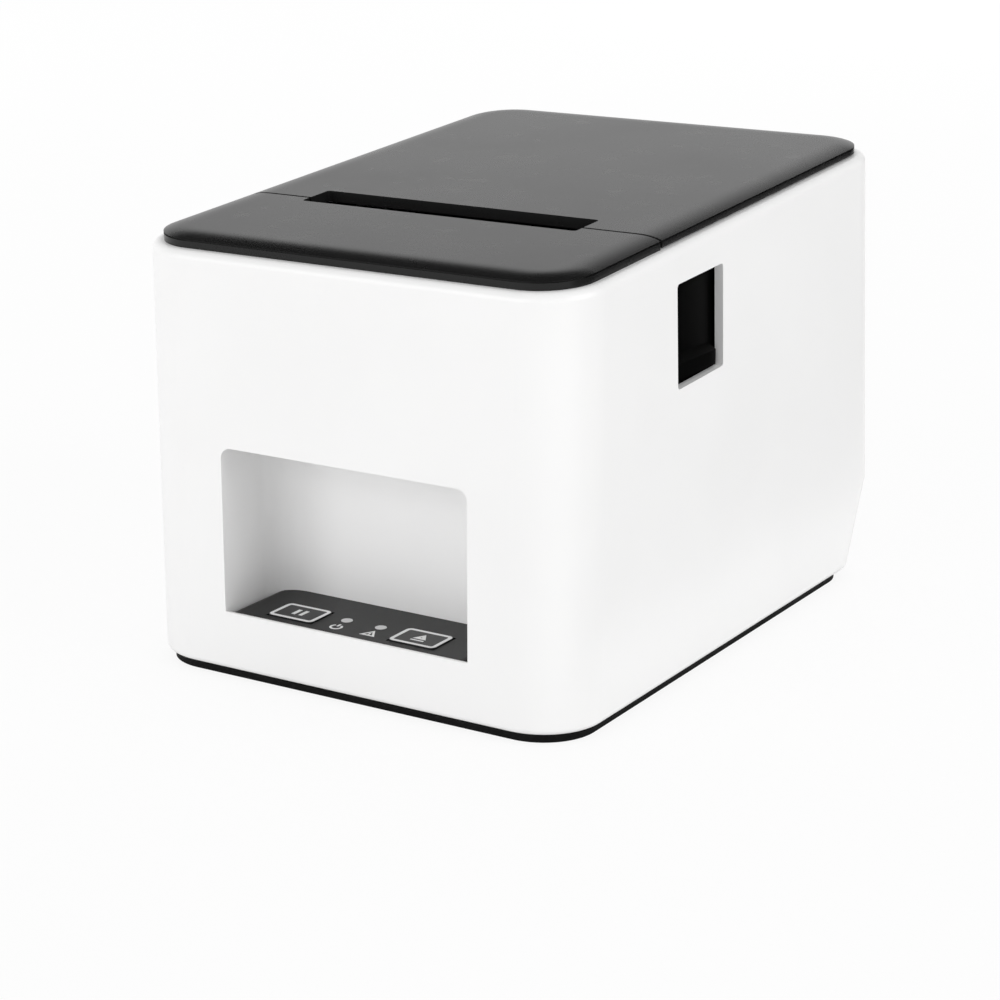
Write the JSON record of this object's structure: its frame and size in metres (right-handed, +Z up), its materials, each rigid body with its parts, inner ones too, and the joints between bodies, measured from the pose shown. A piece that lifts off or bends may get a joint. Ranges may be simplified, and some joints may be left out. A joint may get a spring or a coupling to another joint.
{
  "type": "receipt printer",
  "caption": "Boxy receipt printer with a sloping hinged lid, a paper slot, a front alcove with a key panel and a side release lever, with a roller, sprung print head and roll bucket.",
  "frame": {"origin": "centre of the printer's outline on the surface it stands on", "axes": "+X to the printer's right as seen from its front, +Y to its rear, +Z up"},
  "size_m": [0.13, 0.1844, 0.1262],
  "materials": {
    "white_plastic": "fine satin moulded",
    "black_plastic": "fine grained satin moulded",
    "panel_black": "smooth overlay",
    "button_black": "satin with a pale printed outline",
    "lens": "frosted clear",
    "rubber": "matt",
    "steel": "plain rolled sheet and turned bar",
    "motor_can": "zinc plated",
    "aluminium": "as extruded",
    "ceramic": "glazed",
    "gear_plastic": "moulded acetal",
    "circuit_board": "solder mask",
    "dark_component": "moulded",
    "socket_metal": "plated sheet"
  },
  "bodies": {
    "printer_body": {"alcove_liner": "white_plastic", "base_screws": "steel", "base_tray": "black_plastic", "control_panel": "panel_black", "cover_switch": "dark_component", "cross_plate": "steel", "dc_inlet": "dark_component", "drawer_socket": "dark_component", "error_lamp_lens": "lens", "front_top_cover": "black_plastic", "head_pivot_shaft": "steel", "head_springs": "steel", "hinge_pins": "steel", "idler_post": "steel", "key_board": "circuit_board", "left_side_plate": "steel", "lever_post": "steel", "lever_spring": "steel", "main_board": "circuit_board", "main_casing": "white_plastic", "motor_screws": "steel", "near_end_sensor": "dark_component", "paper_bucket": "black_plastic", "paper_sensor": "dark_component", "power_lamp_lens": "lens", "rear_panel": "black_plastic", "right_side_plate": "steel", "rubber_feet": "rubber", "stepper_motor": "motor_can", "switch_housing": "dark_component", "tact_switches": "dark_component", "tear_bar": "steel", "usb_socket": "socket_metal"},
    "lid": {"rear_lid": "black_plastic", "platen_bracket": "steel", "platen_bushes": "gear_plastic"},
    "platen": {"platen_roller": "rubber", "platen_shaft": "steel", "shaft_clip": "steel", "platen_gear": "gear_plastic"},
    "idler": {"idler_gear": "gear_plastic"},
    "motor_rotor": {"motor_pinion": "gear_plastic", "motor_shaft": "steel"},
    "head": {"print_head": "ceramic", "head_heatsink": "aluminium"},
    "lever": {"release_lever": "black_plastic"},
    "pause_key": {"pause_button": "button_black"},
    "feed_key": {"feed_button": "button_black"},
    "rocker": {"power_rocker": "dark_component"}
  },
  "joints": [
    {"name": "lid_hinge", "type": "hinge", "parent": "printer_body", "child": "lid", "pos_m": [0, 0.07609, 0.12328], "axis": [-1, 0, 0], "range_deg": [0, 84]},
    {"name": "platen_spin", "type": "hinge", "parent": "lid", "child": "platen", "pos_m": [0, -0.02721, 0.0964], "axis": [1, 0, 0], "continuous": true},
    {"name": "idler_spin", "type": "hinge", "parent": "printer_body", "child": "idler", "pos_m": [0, -0.02222, 0.07724], "axis": [1, 0, 0], "continuous": true},
    {"name": "motor_spin", "type": "hinge", "parent": "printer_body", "child": "motor_rotor", "pos_m": [0, -0.03367, 0.06578], "axis": [1, 0, 0], "continuous": true},
    {"name": "head_pivot", "type": "hinge", "parent": "printer_body", "child": "head", "pos_m": [0, -0.03066, 0.08012], "axis": [1, 0, 0], "range_deg": [0, 3], "stiffness_Nm_per_rad": 2, "springref_deg": -2.86},
    {"name": "lever_pull", "type": "hinge", "parent": "printer_body", "child": "lever", "pos_m": [0, -0.0002, 0.092], "axis": [-1, 0, 0], "range_deg": [0, 6], "stiffness_Nm_per_rad": 0.5, "springref_deg": -5.73},
    {"name": "pause_press", "type": "slide", "parent": "printer_body", "child": "pause_key", "axis": [0, 0, -1], "range_m": [0, 0.0008], "stiffness_N_per_m": 600, "springref_m": -0.0005},
    {"name": "feed_press", "type": "slide", "parent": "printer_body", "child": "feed_key", "axis": [0, 0, -1], "range_m": [0, 0.0008], "stiffness_N_per_m": 600, "springref_m": -0.0005},
    {"name": "rocker_tip", "type": "hinge", "parent": "printer_body", "child": "rocker", "pos_m": [-0.034, 0.0713, 0.0179], "axis": [1, 0, 0], "range_deg": [0, 16]}
  ],
  "couplings": [
    {"joint": "idler_spin", "follows": "motor_spin", "ratio": -0.5},
    {"joint": "platen_spin", "follows": "motor_spin", "ratio": 0.6}
  ]
}
